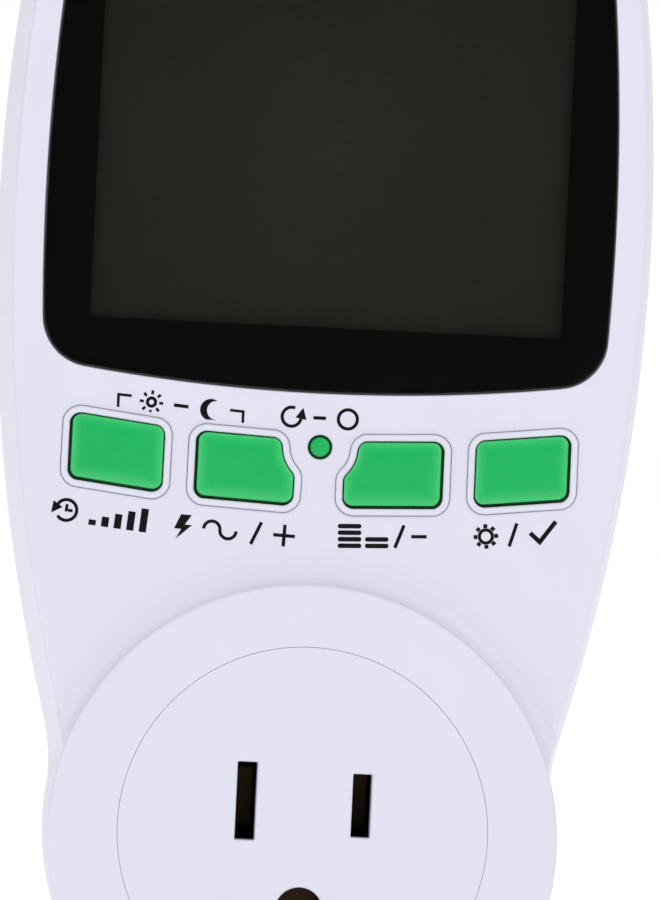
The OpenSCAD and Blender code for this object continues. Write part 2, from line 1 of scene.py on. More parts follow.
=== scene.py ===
"""Plug-in power meter: the visible pieces, their finishes and the studio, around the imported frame.

Drawings are made in the XZ plane in millimetres, and depths run along Y: the outlet faces -Y, the plug +Y.
"""

import json
import math

import bmesh
import bpy
import numpy as np
from mathutils import Matrix, Vector


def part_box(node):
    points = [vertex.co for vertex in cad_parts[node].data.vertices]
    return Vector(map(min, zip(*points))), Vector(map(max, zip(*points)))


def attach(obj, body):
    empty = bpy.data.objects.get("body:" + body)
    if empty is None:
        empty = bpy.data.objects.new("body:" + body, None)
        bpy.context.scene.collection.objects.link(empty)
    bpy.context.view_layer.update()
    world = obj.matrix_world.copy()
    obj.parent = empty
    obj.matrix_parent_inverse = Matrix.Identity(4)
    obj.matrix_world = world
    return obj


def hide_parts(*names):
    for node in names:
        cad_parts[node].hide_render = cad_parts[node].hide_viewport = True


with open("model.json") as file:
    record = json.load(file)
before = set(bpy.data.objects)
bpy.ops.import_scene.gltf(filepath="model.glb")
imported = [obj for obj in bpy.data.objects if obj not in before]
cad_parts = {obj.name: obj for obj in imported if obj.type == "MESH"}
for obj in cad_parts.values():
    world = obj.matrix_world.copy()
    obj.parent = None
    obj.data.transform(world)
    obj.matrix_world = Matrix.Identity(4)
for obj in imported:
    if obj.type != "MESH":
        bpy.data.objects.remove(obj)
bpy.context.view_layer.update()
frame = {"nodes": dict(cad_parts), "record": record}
RECORD = frame["record"]
MM = 0.001


# ---- Places read from the frame, in millimetres --------------------------------------------


def node_box(name):
    """Lowest and highest corner of a CAD node, in millimetres."""
    low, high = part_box(name)
    return low / MM, high / MM


FRONT_LOW, FRONT_HIGH = node_box("front_cover")
WINDOW_LOW, WINDOW_HIGH = node_box("display_window")
INSERT_LOW, INSERT_HIGH = node_box("socket_face")
BLADE_LOW, BLADE_HIGH = node_box("line_blade")
PIN_LOW, PIN_HIGH = node_box("ground_pin")
LABEL_LOW, LABEL_HIGH = node_box("rating_label")

OUTLET_Y = FRONT_LOW.y
SEAM_Y = FRONT_HIGH.y
FACE_Y = WINDOW_LOW.y
SEAT_Y = node_box("window_tape")[1].y
BACK_Y = LABEL_HIGH.y
BOARD_Y = node_box("control_board")[0].y
POWER_Y = node_box("power_board")[1].y
SCREW_Y = node_box("case_screws")[0].y
INSERT_Z = (INSERT_LOW.z + INSERT_HIGH.z) / 2
BLADE_X = (BLADE_LOW.x + BLADE_HIGH.x) / 2
GROUND_Z = (PIN_LOW.z + PIN_HIGH.z) / 2

# ---- Driving values, in millimetres ----------------------------------------------------------

# The round drum under the outlet
DRUM_R = 28.3
DRUM_Z = FRONT_LOW.z + DRUM_R

# The case's bowed sides, arched top and upper corners, and the hollow curves at its waist
BELLY_Z = 64.0
SIDE_R = 210.0
TOP_R = 110.0
CORNER_R = 10.5
WAIST_R = 22.0

# The window's bowed sides, arched top, sagging bottom, and its upper and lower corners
WINDOW_BELLY_Z = 65.0
WINDOW_SIDE_R = 260.0
WINDOW_TOP_R = 150.0
WINDOW_BOTTOM_R = 195.0
WINDOW_HIGH_R = 6.0
WINDOW_LOW_R = 5.5

# Walls, edges and draft of the two covers, the valley round the drum, and how far the body's own
# outline stays inside the drum
WALL = 2.0
FRONT_WALL = 2.6
DRAFT = 1.4
EDGE_R = 0.9
BACK_EDGE_R = 1.8
SEAM_BEVEL = 0.2
DOME_EDGE_R = 0.5
DOME_FOOT_R = 2.0
DOME_DRAFT = 0.2
DRUM_SHY = 0.03

# Display opening, its ledge, and the window's edge
VIEW_W = 52.0
VIEW_LOW = 52.4
VIEW_HIGH = 90.6
VIEW_MIDDLE = (0, (VIEW_LOW + VIEW_HIGH) / 2)
VIEW_CORNER_R = 0.3
OPENING_CORNER_R = 0.8
LEDGE = 1.2
WINDOW_GAP = 0.1
WINDOW_EDGE_R = 0.16
WINDOW_SEAT_EDGE_R = 0.2
PRINT_T = 0.02

# Keys on their arc, the reset pin, and how each cap's top falls towards its edge
KEY_ARC_R = 200.0
KEY_ARC_Z = 36.33
KEY_H = 7.0
KEY_ROUND = 1.0
KEY_GAP = 0.25
KEY_LEAN = 0.1
KEY_RISE = 0.6
KEY_CROWN = 0.12
KEY_PILLOW_W = 1.7
KEY_RIM_INSET = 0.85
KEY_EDGE_R = 0.28
# Width of the painted light on each cap's rim, and the mesh attribute that carries it
KEY_GLOW_W = 1.3
PAINTED_RIM_LIGHT_ATTRIBUTE = "rim"
OUTER_KEY = {"x": -22.4, "w": 10.1, "notched": False, "names": ("history", "set")}
INNER_KEY = {"x": -8.2, "w": 10.6, "notched": True, "names": ("energy", "cost")}
RESET_Z = 39.2
RESET_HOLE_R = 1.35
RESET_PIN_R = 1.1
RESET_SINK = 0.4
RESET_EDGE_R = 0.35
RESET_TIP_R = 0.3
NOTCH_R = 4.35

# Bead, groove and foot round each key's opening, and the flange and stem behind each cap
RIM_W = 0.72
RIM_H = 0.5
RIM_GROOVE_W = 0.12
RIM_FOOT_W = 0.5
RIM_FOOT_H = 0.3
FLANGE_W = 0.9
FLANGE_T = 0.8
FLANGE_GAP = 0.1
STEM_R = 1.6

# Outlet insert and its openings; a slot is (place, width, height)
INSERT_R = 20.4
INSERT_GAP = 0.035
INSERT_EDGE_R = 0.06
INSERT_LIP = 1.0
SLOT_EDGE_R = 0.3
SLOTS = ((-BLADE_X, 2.2, 8.6), (BLADE_X, 2.1, 7.0))
GROUND_BORE_R = 2.65

# Posts and screws
CASE_POSTS = ((-24, 95), (24, 95), (-18.4, -19.4), (18.4, -19.4))
BOARD_POSTS = ((-26, 45.8), (26, 45.8), (-15.2, 29.5), (15.2, 29.5))
POWER_POSTS = ((-23.5, 46.5), (23.5, 46.5), (-23.5, 84), (23.5, 84))
POST_R = 2.2
CASE_POST_R = 2.4
SCREW_R = 1.05
BOARD_SCREW_R = 0.95
HEAD_R = 2.1
HEAD_T = 1.8
HEAD_DEPTH = 4.0

# Recess for the label
LABEL_GAP = 0.4
LABEL_CORNER_R = 1.7

# Plug base, blades and ground pin
BASE_R = 21.0
BASE_EDGE_R = 1.0
BASE_FOOT_R = 0.8
BASE_POCKET_R = 17.5
BASE_PLATE_T = 2.5
COLLAR_R = 3.0
PIN_R = 2.4
BLADE_T = 1.5
BLADE_EYE_R = 1.6
BLADE_EYE_IN = 4.2

# How far printed ink stands out of the face and sinks into it
INK_T = 0.02
INK_SINK = 0.005

# How far cutting tools reach past what they cut, and joined solids into each other
REACH = 1.0
SINK = 0.5


# ---- Drawings ------------------------------------------------------------------------------


def polar(angle):
    """Unit vector at an angle in degrees."""
    return np.array((math.cos(math.radians(angle)), math.sin(math.radians(angle))))


def heading(v):
    """Angle of a vector in degrees."""
    return math.degrees(math.atan2(v[1], v[0]))


def arc(centre, radius, start, end, steps):
    """Points of an arc from one angle towards another, without its last point."""
    angles = np.linspace(start, end, steps, endpoint=False)
    return [np.array(centre, float) + radius * polar(t) for t in angles]


def meet(a, ra, b, rb):
    """The point ra from a and rb from b, to the left of the way from a to b."""
    a, b = np.array(a, float), np.array(b, float)
    d = np.linalg.norm(b - a)
    u = (b - a) / d
    along = (d * d + ra * ra - rb * rb) / (2 * d)
    across = math.sqrt(ra * ra - along * along)
    return a + along * u + across * np.array((-u[1], u[0]))


def chain(pieces):
    """Points of arcs given as (centre, radius, start, end, steps), one after another."""
    return [point for piece in pieces for point in arc(*piece)]


def both_sides(right, top_z):
    """Whole outline from its right half, which runs from the bottom towards the top."""
    right = right + [np.array((0, top_z))]
    return np.array(right + [p * (-1, 1) for p in right[-2:0:-1]])


def case_outline(inset):
    """The case seen from the front: round outlet, waist, bowed sides and arched top, moved inwards."""
    side, top = (FRONT_HIGH.x - SIDE_R, BELLY_Z), (0, FRONT_HIGH.z - TOP_R)
    drum, drum_r = (0, DRUM_Z), DRUM_R - DRUM_SHY
    waist = meet(side, SIDE_R + WAIST_R, drum, drum_r + WAIST_R)
    corner = meet(side, SIDE_R - CORNER_R, top, TOP_R - CORNER_R)
    drum_end, side_start = heading(waist - drum), heading(waist - side)
    side_end, top_start = heading(corner - side), heading(corner - top)
    right = chain(
        (
            (drum, drum_r - inset, -90, drum_end, 48),
            (waist, WAIST_R + inset, drum_end + 180, side_start + 180, 8),
            (side, SIDE_R - inset, side_start, side_end, 44),
            (corner, CORNER_R - inset, side_end, top_start, 16),
            (top, TOP_R - inset, top_start, 90, 24),
        )
    )
    return both_sides(right, FRONT_HIGH.z - inset)


def window_outline(inset):
    """The window's outline, moved inwards."""
    side, top = (WINDOW_HIGH.x - WINDOW_SIDE_R, WINDOW_BELLY_Z), (0, WINDOW_HIGH.z - WINDOW_TOP_R)
    bottom = (0, WINDOW_LOW.z + WINDOW_BOTTOM_R)
    high = meet(side, WINDOW_SIDE_R - WINDOW_HIGH_R, top, WINDOW_TOP_R - WINDOW_HIGH_R)
    low = meet(bottom, WINDOW_BOTTOM_R - WINDOW_LOW_R, side, WINDOW_SIDE_R - WINDOW_LOW_R)
    bottom_end, side_start = heading(low - bottom), heading(low - side)
    side_end, top_start = heading(high - side), heading(high - top)
    right = chain(
        (
            (bottom, WINDOW_BOTTOM_R - inset, -90, bottom_end, 16),
            (low, WINDOW_LOW_R - inset, bottom_end, side_start, 14),
            (side, WINDOW_SIDE_R - inset, side_start, side_end, 24),
            (high, WINDOW_HIGH_R - inset, side_end, top_start, 14),
            (top, WINDOW_TOP_R - inset, top_start, 90, 16),
        )
    )
    return both_sides(right, WINDOW_HIGH.z - inset)


def circle(centre, radius, steps=64):
    """Points of a whole circle."""
    return np.array(arc(centre, radius, 0, 360, steps))


def rounded_box(centre, size, radius, steps=5):
    """Rectangle with round corners, counterclockwise."""
    half = np.array(size) / 2 - radius
    points = []
    for turn, corner in enumerate(((1, -1), (1, 1), (-1, 1), (-1, -1))):
        points += arc(np.array(centre) + half * corner, radius, 90 * turn - 90, 90 * turn, steps)
        points.append(np.array(centre) + half * corner + radius * polar(90 * turn))
    return np.array(points)


def key_z(x):
    """Height of the arc that the keys sit on."""
    return KEY_ARC_Z + KEY_ARC_R - math.sqrt(KEY_ARC_R**2 - x * x)


def key_outline(key, grow, steps=8):
    """Outline of a key left of the middle, grown by an exact distance.

    Its sides are upright, and its top and bottom slope as the arc does.
    """
    x, z = key["x"], key_z(key["x"])
    tilt = math.degrees(math.atan(x / KEY_ARC_R))
    ahead = polar(tilt)
    reach_x = key["w"] / 2 - KEY_ROUND
    reach_z = KEY_H / 2 - KEY_ROUND / ahead[0]
    radius = KEY_ROUND + grow

    def corner(across, up):
        return np.array((x + across * reach_x, z + across * reach_x * x / KEY_ARC_R + up * reach_z))

    points = arc(corner(1, -1), radius, tilt - 90, 0, steps)
    if key["notched"]:
        reset = np.array((0, RESET_Z))
        reach = NOTCH_R + KEY_ROUND
        low_x = x + reach_x
        low = np.array((low_x, RESET_Z - math.sqrt(reach**2 - low_x**2)))
        start = corner(-1, 1)
        along = (reset - start) @ ahead
        aside = np.linalg.norm(reset - start - along * ahead)
        high = start + (along - math.sqrt(reach**2 - aside**2)) * ahead
        low_turn, high_turn = heading(reset - low), heading(reset - high)
        points += arc(low, radius, 0, low_turn, steps)
        points += arc(reset, NOTCH_R - grow, low_turn + 180, high_turn + 180, 3 * steps)
        points += arc(high, radius, high_turn, tilt + 90, steps)
    else:
        points += arc(corner(1, 1), radius, 0, tilt + 90, steps)
    points += arc(corner(-1, 1), radius, tilt + 90, 180, steps)
    points += arc(corner(-1, -1), radius, 180, tilt + 270, steps)
    return np.array(points)


def mirrored(points):
    """The same drawing on the other side of the middle, still counterclockwise."""
    return (points * (-1, 1))[::-1]


# ---- Meshes ---------------------------------------------------------------------------------


def at_depth(points, y):
    """A drawing placed at a depth."""
    return np.column_stack((points[:, 0], np.full(len(points), y), points[:, 1]))


def mesh_object(name, vertices, faces):
    """New object in the scene from vertices in millimetres."""
    mesh = bpy.data.meshes.new(name)
    mesh.from_pydata([Vector(v) * MM for v in vertices], [], faces)
    obj = bpy.data.objects.new(name, mesh)
    bpy.context.scene.collection.objects.link(obj)
    return obj


def outward(obj):
    """Turns every face of a closed mesh outwards."""
    work = bmesh.new()
    work.from_mesh(obj.data)
    bmesh.ops.recalc_face_normals(work, faces=work.faces)
    work.to_mesh(obj.data)
    work.free()
    return obj


def loft(rings):
    """Closed solid through rings of equally many points, with a face at either end."""
    count = len(rings[0])
    faces = [tuple(range(count))]
    for r in range(len(rings) - 1):
        for i in range(count):
            j = (i + 1) % count
            faces.append((r * count + i, (r + 1) * count + i, (r + 1) * count + j, r * count + j))
    faces.append(tuple(len(rings) * count - 1 - i for i in range(count)))
    return outward(mesh_object("solid", np.vstack(rings), faces))


def turned(centre, profile, steps=64):
    """Solid of revolution about Y through (radius, depth) pairs."""
    return loft([at_depth(circle(centre, r, steps), y) for r, y in profile])


def slab(points, y_from, y_to):
    """A drawing made solid between two depths."""
    return loft([at_depth(points, y_from), at_depth(points, y_to)])


def joined(objects):
    """One mesh of several separate solids."""
    work = bmesh.new()
    for obj in objects:
        work.from_mesh(obj.data)
        remove(obj)
    mesh = bpy.data.meshes.new("solid")
    work.to_mesh(mesh)
    work.free()
    result = bpy.data.objects.new("solid", mesh)
    bpy.context.scene.collection.objects.link(result)
    return result


def remove(obj):
    """Deletes an object and its mesh."""
    mesh = obj.data
    bpy.data.objects.remove(obj)
    bpy.data.meshes.remove(mesh)


def combined(solid, tools, operation):
    """The solid with separate tools joined to it or cut from it."""
    tool = joined(tools)
    cut = solid.modifiers.new("cut", "BOOLEAN")
    cut.operation = operation
    cut.solver = "MANIFOLD"
    cut.object = tool
    bpy.context.view_layer.update()
    made = solid.evaluated_get(bpy.context.evaluated_depsgraph_get())
    mesh = bpy.data.meshes.new_from_object(made)
    old = solid.data
    solid.modifiers.clear()
    solid.data = mesh
    bpy.data.meshes.remove(old)
    remove(tool)
    return solid


def quarter(centre, radius, start, end, steps=6):
    """Points of a rounding in a (radius or inset, depth) drawing, both ends included."""
    return [tuple(np.array(centre) + radius * polar(t)) for t in np.linspace(start, end, steps + 1)]


def cutter(ring, y_face, y_floor, edge_r):
    """Tool that sinks a shape, drawn by ring(grow), from a face to a floor and rounds the face's edge."""
    rings = [at_depth(ring(edge_r), y_face - SINK), at_depth(ring(edge_r), y_face)]
    for t in np.linspace(0, 90, 5)[1:]:
        grow = edge_r * (1 - math.sin(math.radians(t)))
        rings.append(at_depth(ring(grow), y_face + edge_r * (1 - math.cos(math.radians(t)))))
    rings.append(at_depth(ring(0), y_floor))
    return loft(rings)


def facing_back(obj):
    """Mirrors a solid drawn for the front so that it faces the back."""
    obj.data.transform(Matrix.Scale(-1, 4, (0, 1, 0)))
    return outward(obj)


def finished(obj, name, body, material, replaces=(), crease=32):
    """Names a piece, shades it smooth between creases, and puts it on its body."""
    obj.name = name
    obj.data.name = name
    obj.data.materials.clear()
    obj.data.materials.append(material)
    work = bmesh.new()
    work.from_mesh(obj.data)
    bmesh.ops.remove_doubles(work, verts=work.verts, dist=1e-7)
    for edge in work.edges:
        edge.smooth = len(edge.link_faces) == 2 and edge.calc_face_angle() < math.radians(crease)
    for face in work.faces:
        face.smooth = True
        face.material_index = 0
    work.to_mesh(obj.data)
    work.free()
    weighted = obj.modifiers.new("normals", "WEIGHTED_NORMAL")
    weighted.keep_sharp = True
    weighted.weight = 100
    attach(obj, body)
    if replaces:
        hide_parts(*replaces)
    return obj


# ---- Materials ------------------------------------------------------------------------------

RECORD_COLOURS = {m["slot"]: m["base_color"][:3] for m in RECORD["materials"]}
CASE_COLOUR = (0.665, 0.662, 0.765)
KEY_COLOUR = (0.004, 0.40, 0.095)
# Painted light: the lighter green that the caps take near their edges, for light through the thin rim
KEY_PAINTED_RIM_LIGHT = (0.045, 0.52, 0.155)
INK_COLOUR = (0.005, 0.005, 0.006)
MASK_COLOUR = (0.002, 0.002, 0.0024)
# Brass darkened as painted shade, so that the contacts deep inside the slots read nearly black
BRASS_WITH_PAINTED_SHADE = (0.13, 0.09, 0.045)
# Black contact block; its dark colour also paints the shade deep inside the slots
DARK_BLOCK = (0.03, 0.03, 0.028)
SMOKE_TINTS = ((0.30, 0.305, 0.29), (0.32, 0.325, 0.31))
DISPLAY_TINTS = ((0.38, 0.385, 0.33), (0.40, 0.405, 0.35))
# Painted shade: the darker olive at the display's edges, where the window print shades it
DISPLAY_PAINTED_EDGE_SHADE = (0.25, 0.255, 0.215)
DISPLAY_ROW = (0.2, 0.21, 0.17)


def nodes_of(name, slot):
    """New material for a slot of the record, its node tree, its shader and the place in the mesh."""
    material = bpy.data.materials.new(name)
    material["slot"] = slot
    material.use_nodes = True
    tree = material.node_tree
    shader = tree.nodes["Principled BSDF"]
    place = tree.nodes.new("ShaderNodeTexCoord")
    return material, tree, shader, place.outputs["Object"]


def noise(tree, place, size_mm, detail=2.0, stretch=(1, 1, 1)):
    """Noise whose grains are about size_mm across."""
    mapping = tree.nodes.new("ShaderNodeMapping")
    mapping.inputs["Scale"].default_value = stretch
    tree.links.new(place, mapping.inputs["Vector"])
    texture = tree.nodes.new("ShaderNodeTexNoise")
    texture.inputs["Scale"].default_value = 1 / (size_mm * MM)
    texture.inputs["Detail"].default_value = detail
    tree.links.new(mapping.outputs["Vector"], texture.inputs["Vector"])
    return texture.outputs["Fac"]


def spread(tree, value, low, high):
    """The noise's middle range spread between two numbers."""
    node = tree.nodes.new("ShaderNodeMapRange")
    node.inputs["From Min"].default_value = 0.3
    node.inputs["From Max"].default_value = 0.7
    node.inputs["To Min"].default_value = low
    node.inputs["To Max"].default_value = high
    tree.links.new(value, node.inputs["Value"])
    return node.outputs["Result"]


def blend_colours(tree, factor, a, b):
    """Mix of two colours, each a socket or a tuple."""
    node = tree.nodes.new("ShaderNodeMix")
    node.data_type = "RGBA"
    tree.links.new(factor, node.inputs[0])
    for socket, colour in ((node.inputs[6], a), (node.inputs[7], b)):
        if isinstance(colour, bpy.types.NodeSocket):
            tree.links.new(colour, socket)
        else:
            socket.default_value = (*colour[:3], 1)
    return node.outputs[2]


def bumped(tree, shader, height, depth_mm):
    """Gives a shader fine relief from a height."""
    node = tree.nodes.new("ShaderNodeBump")
    node.inputs["Distance"].default_value = depth_mm * MM
    tree.links.new(height, node.inputs["Height"])
    tree.links.new(node.outputs["Normal"], shader.inputs["Normal"])


def moulded(
    name, slot, colour, roughness, grain=0.25, depth=0.004, mottle=0.03, metallic=0.0, stretch=(1, 1, 1)
):
    """Solid material with a fine grain, a little colour variation and uneven gloss."""
    material, tree, shader, place = nodes_of(name, slot)
    light = [min(1, c * (1 + mottle)) for c in colour]
    dark = [c * (1 - mottle) for c in colour]
    patches = spread(tree, noise(tree, place, 9, 3), 0, 1)
    tree.links.new(blend_colours(tree, patches, dark, light), shader.inputs["Base Color"])
    fine = noise(tree, place, grain, 2, stretch)
    tree.links.new(spread(tree, fine, roughness - 0.05, roughness + 0.05), shader.inputs["Roughness"])
    shader.inputs["Metallic"].default_value = metallic
    bumped(tree, shader, fine, depth)
    return material


def slot_material(slot, roughness, **finish):
    """Moulded material in the colour that the record gives its slot."""
    return moulded(slot, slot, RECORD_COLOURS[slot], roughness, **finish)


case_plastic = moulded(
    "case_plastic", "case_plastic", CASE_COLOUR, 0.42, grain=0.3, depth=0.002, mottle=0.01
)
ink = moulded("legend_ink", "black_plastic", INK_COLOUR, 0.3, grain=0.12, depth=0.0005, mottle=0.2)
ink.node_tree.nodes["Principled BSDF"].inputs["Specular IOR Level"].default_value = 0.1
mask_black = moulded("window_print", "black_plastic", MASK_COLOUR, 0.5, grain=0.2, depth=0.001, mottle=0.1)


def key_material():
    """Glossy green plastic with painted light on its rim: lighter towards the edge, standing in for light
    that comes through the thin rim.
    """
    material, tree, shader, place = nodes_of("key_plastic", "key_plastic")
    fine = noise(tree, place, 0.2)
    rim = tree.nodes.new("ShaderNodeAttribute")
    rim.attribute_name = PAINTED_RIM_LIGHT_ATTRIBUTE
    patches = spread(tree, noise(tree, place, 5, 3), 0, 1)
    middle = blend_colours(tree, patches, KEY_COLOUR, [1.06 * c for c in KEY_COLOUR])
    # Painted light: the rim attribute blends the caps towards the lighter rim colour at their edges
    colour = blend_colours(tree, rim.outputs["Fac"], middle, KEY_PAINTED_RIM_LIGHT)
    tree.links.new(colour, shader.inputs["Base Color"])
    tree.links.new(spread(tree, fine, 0.24, 0.32), shader.inputs["Roughness"])
    shader.inputs["Specular IOR Level"].default_value = 0.35
    bumped(tree, shader, fine, 0.001)
    return material


def smoked_acrylic():
    """Clear, slightly hazy acrylic with a grey tint."""
    material, tree, shader, place = nodes_of("smoked_acrylic", "smoked_window")
    tint = spread(tree, noise(tree, place, 14, 2), 0, 1)
    tree.links.new(blend_colours(tree, tint, *SMOKE_TINTS), shader.inputs["Base Color"])
    shader.inputs["Transmission Weight"].default_value = 1.0
    shader.inputs["IOR"].default_value = 1.46
    haze = noise(tree, place, 6, 3)
    tree.links.new(spread(tree, haze, 0.02, 0.06), shader.inputs["Roughness"])
    return material


def display_glass():
    """Reflective liquid crystal glass: grey olive, with painted shade that darkens it towards its edges, and
    rows that barely show.
    """
    material, tree, shader, place = nodes_of("display_glass", "lcd_glass")
    rows = tree.nodes.new("ShaderNodeTexWave")
    rows.bands_direction = "Z"
    rows.inputs["Scale"].default_value = 1 / (1.2 * MM) / 3
    tree.links.new(place, rows.inputs["Vector"])
    clouds = spread(tree, noise(tree, place, 18, 2), 0, 1)
    # Painted shade: a sphere gradient from the middle darkens the glass towards its edges
    centred = tree.nodes.new("ShaderNodeMapping")
    centred.inputs["Location"].default_value = (-0.6, 0, -0.6)
    centred.inputs["Scale"].default_value = (1.2, 0, 1.2)
    tree.links.new(place.node.outputs["Generated"], centred.inputs["Vector"])
    middle = tree.nodes.new("ShaderNodeTexGradient")
    middle.gradient_type = "QUADRATIC_SPHERE"
    tree.links.new(centred.outputs["Vector"], middle.inputs["Vector"])
    lit = blend_colours(tree, clouds, *DISPLAY_TINTS)
    base = blend_colours(tree, middle.outputs["Fac"], DISPLAY_PAINTED_EDGE_SHADE, lit)
    faint = tree.nodes.new("ShaderNodeMapRange")
    faint.inputs["To Max"].default_value = 0.05
    tree.links.new(rows.outputs["Fac"], faint.inputs["Value"])
    colour = blend_colours(tree, faint.outputs["Result"], base, DISPLAY_ROW)
    tree.links.new(colour, shader.inputs["Base Color"])
    tree.links.new(spread(tree, noise(tree, place, 0.4), 0.25, 0.35), shader.inputs["Roughness"])
    return material


def circuit_board():
    """Solder mask over copper tracks that show as slightly lighter, raised bands."""
    material, tree, shader, place = nodes_of("circuit_board", "circuit_board")
    base = RECORD_COLOURS["circuit_board"]
    cells = tree.nodes.new("ShaderNodeTexVoronoi")
    cells.distance = "CHEBYCHEV"
    cells.feature = "DISTANCE_TO_EDGE"
    cells.inputs["Scale"].default_value = 1 / (5 * MM)
    tree.links.new(place, cells.inputs["Vector"])
    tracks = tree.nodes.new("ShaderNodeMapRange")
    tracks.inputs["From Min"].default_value = 0.06
    tracks.inputs["From Max"].default_value = 0.09
    tree.links.new(cells.outputs["Distance"], tracks.inputs["Value"])
    colour = blend_colours(tree, tracks.outputs["Result"], base, [1.9 * c for c in base])
    tree.links.new(colour, shader.inputs["Base Color"])
    tree.links.new(spread(tree, noise(tree, place, 0.8), 0.25, 0.4), shader.inputs["Roughness"])
    bumped(tree, shader, tracks.outputs["Result"], 0.03)
    return material


key_plastic = key_material()

SLOT_MATERIALS = {
    "case_plastic": case_plastic,
    "key_plastic": key_plastic,
    "smoked_window": smoked_acrylic(),
    "lcd_glass": display_glass(),
    "circuit_board": circuit_board(),
    "black_plastic": slot_material("black_plastic", 0.5, depth=0.005),
    "diffuser": slot_material("diffuser", 0.4, mottle=0.01),
    "frame_plastic": slot_material("frame_plastic", 0.45),
    "elastomer": slot_material("elastomer", 0.7, grain=0.15, stretch=(4, 1, 1)),
    "black_epoxy": slot_material("black_epoxy", 0.4, grain=0.15, depth=0.01),
    "plated_steel": slot_material("plated_steel", 0.28, grain=0.15, depth=0.004, mottle=0.06, metallic=1.0),
    "yellow_epoxy": slot_material("yellow_epoxy", 0.3, grain=1.2, depth=0.03),
    "capacitor_sleeve": slot_material("capacitor_sleeve", 0.25, grain=1.5, depth=0.02),
    "blue_epoxy": slot_material("blue_epoxy", 0.3, grain=1.2, depth=0.05, mottle=0.08),
    "fuse_ceramic": slot_material("fuse_ceramic", 0.3),
    "manganin": slot_material("manganin", 0.35, metallic=1.0, stretch=(1, 8, 8)),
    # Contact brass in the darkened colour that paints the shade inside the slots
    "contact_brass": moulded(
        "contact_brass", "contact_brass", BRASS_WITH_PAINTED_SHADE, 0.45, mottle=0.1, metallic=1.0, stretch=(6, 1, 6)
    ),
    "battery_sleeve": slot_material("battery_sleeve", 0.3, grain=1.0, depth=0.02),
    # Black insulator block, whose dark colour also stands in for the shade inside the slots
    "insulator": moulded("insulator", "insulator", DARK_BLOCK, 0.6, depth=0.01),
    "plated_brass": slot_material(
        "plated_brass", 0.2, grain=0.3, mottle=0.04, metallic=1.0, stretch=(1, 0.1, 1)
    ),
    "black_wire": slot_material("black_wire", 0.45, depth=0.01),
    "white_wire": slot_material("white_wire", 0.45, depth=0.01),
    "label_film": slot_material("label_film", 0.35, grain=0.1, mottle=0.02),
    "plunger_plastic": slot_material("plunger_plastic", 0.5),
}

for part in RECORD["subparts"]:
    carried = frame["nodes"][part["node"]]
    carried.data.materials.clear()
    carried.data.materials.append(SLOT_MATERIALS[part["material_slot"]])


# ---- Case -----------------------------------------------------------------------------------


def body_solid(stations):
    """Bowed case body through (inset, depth) stations."""
    return loft([at_depth(case_outline(inset), y) for inset, y in stations])


def drum_ring(grow):
    """The drum's outline, grown."""
    return circle((0, DRUM_Z), DRUM_R + grow, 192)


def drum_solid(stations):
    """Round drum about the outlet through (inset, depth) stations."""
    return loft([at_depth(drum_ring(-inset), y) for inset, y in stations])


def post(place, radius, y_from, y_to):
    """Round bar between two depths."""
    return slab(circle(place, radius, 32), y_from, y_to)


def key_outlines(grow):
    """All four keys' outlines, grown."""
    left = [key_outline(key, grow) for key in (OUTER_KEY, INNER_KEY)]
    return left + [mirrored(points) for points in left]


def key_ring(index):
    """Drawing of a key's opening as a function of how far it is grown."""
    return lambda grow: key_outlines(KEY_GAP + grow)[index]


def key_collar(index):
    """Bead round a key's opening with a fine groove and a hollow foot outside it, closed until it is cut."""
    ring = key_ring(index)
    foot_start = RIM_W + RIM_GROOVE_W
    rings = [at_depth(ring(foot_start + RIM_FOOT_W), FACE_Y + SINK)]
    for t in np.linspace(1, 0, 6):
        rings.append(at_depth(ring(foot_start + RIM_FOOT_W * t), FACE_Y - RIM_FOOT_H * (1 - t) ** 2))
    rings.append(at_depth(ring(foot_start - 0.02), FACE_Y - 0.03))
    rings.append(at_depth(ring(RIM_W + 0.02), FACE_Y - 0.03))
    for t in np.linspace(0, 160, 12):
        reach, rise = polar(t)
        rings.append(at_depth(ring(RIM_W / 2 * (1 + reach)), FACE_Y - RIM_H * (0.5 + 0.5 * rise)))
    return loft(rings)


